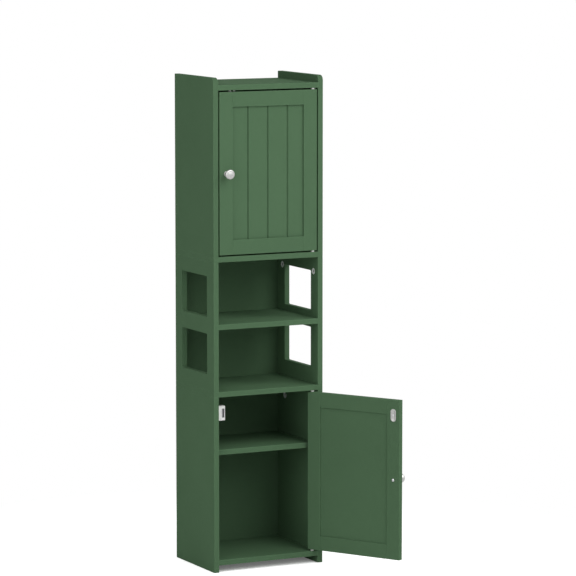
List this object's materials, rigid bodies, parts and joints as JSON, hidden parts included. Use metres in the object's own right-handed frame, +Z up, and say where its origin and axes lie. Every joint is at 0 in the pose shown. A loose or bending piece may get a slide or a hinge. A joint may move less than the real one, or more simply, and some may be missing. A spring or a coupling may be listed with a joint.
{
  "type": "narrow bathroom cabinet",
  "caption": "Narrow floor-standing bathroom cabinet with a cupboard below, open bays with side windows, a cupboard above, and grooved pivot-hung doors with round knobs.",
  "frame": {"origin": "on the floor, in the middle of the footprint of the two side boards", "axes": "+Z up, the front faces -Y, +X to the right seen from the front, where the doors hang"},
  "size_m": [0.3852, 0.4021, 1.1],
  "materials": {
    "green_paint": "satin green paint on fibreboard",
    "green_back": "satin green paint on thin hardboard",
    "white_nylon": "plain white nylon",
    "white_plastic": "moulded white plastic",
    "satin_knob": "satin nickel plate on cast zinc",
    "nickel": "bright nickel plate",
    "zinc": "bright zinc plate",
    "cam_zinc": "cast zinc",
    "ferrite": "dull dark ferrite",
    "beech": "plain fluted beech"
  },
  "bodies": {
    "carcass": {"lower_side_left": "green_paint", "lower_side_right": "green_paint", "bottom_panel": "green_paint", "lower_divider": "green_paint", "middle_side_left": "green_paint", "middle_side_right": "green_paint", "middle_shelf": "green_paint", "upper_divider": "green_paint", "upper_side_left": "green_paint", "upper_side_right": "green_paint", "top_panel": "green_paint", "lower_shelf": "green_paint", "upper_shelf": "green_paint", "lower_back": "green_back", "middle_back": "green_back", "upper_back": "green_back", "lower_shelf_supports": "nickel", "lower_hinge_bushes": "white_nylon", "lower_catch_body": "white_plastic", "lower_catch_poles": "nickel", "lower_catch_magnet": "ferrite", "lower_catch_screws": "zinc", "upper_shelf_supports": "nickel", "upper_hinge_bushes": "white_nylon", "upper_catch_body": "white_plastic", "upper_catch_poles": "nickel", "upper_catch_magnet": "ferrite", "upper_catch_screws": "zinc", "upper_stop_pegs": "white_nylon", "cam_discs": "cam_zinc", "cam_bolts": "zinc", "dowels": "beech", "divider_screws": "zinc", "back_screws": "zinc"},
    "lower_door": {"lower_door_hinge_stile": "green_paint", "lower_door_handle_stile": "green_paint", "lower_door_top_rail": "green_paint", "lower_door_bottom_rail": "green_paint", "lower_door_panel": "green_paint", "lower_door_pivot_pins": "zinc", "lower_door_knob": "satin_knob", "lower_door_knob_screw": "zinc", "lower_door_strike_plate": "nickel", "lower_door_strike_screw": "zinc"},
    "upper_door": {"upper_door_hinge_stile": "green_paint", "upper_door_handle_stile": "green_paint", "upper_door_top_rail": "green_paint", "upper_door_bottom_rail": "green_paint", "upper_door_panel": "green_paint", "upper_door_pivot_pins": "zinc", "upper_door_knob": "satin_knob", "upper_door_knob_screw": "zinc", "upper_door_strike_plate": "nickel", "upper_door_strike_screw": "zinc"}
  },
  "joints": [
    {"name": "lower_door_hinge", "type": "hinge", "parent": "carcass", "child": "lower_door", "pos_m": [0.112, -0.0945, 0.211], "axis": [0, 0, 1], "range_deg": [-120.5, 3.5]},
    {"name": "upper_door_hinge", "type": "hinge", "parent": "carcass", "child": "upper_door", "pos_m": [0.112, -0.0945, 0.889], "axis": [0, 0, 1], "range_deg": [0, 124]}
  ]
}
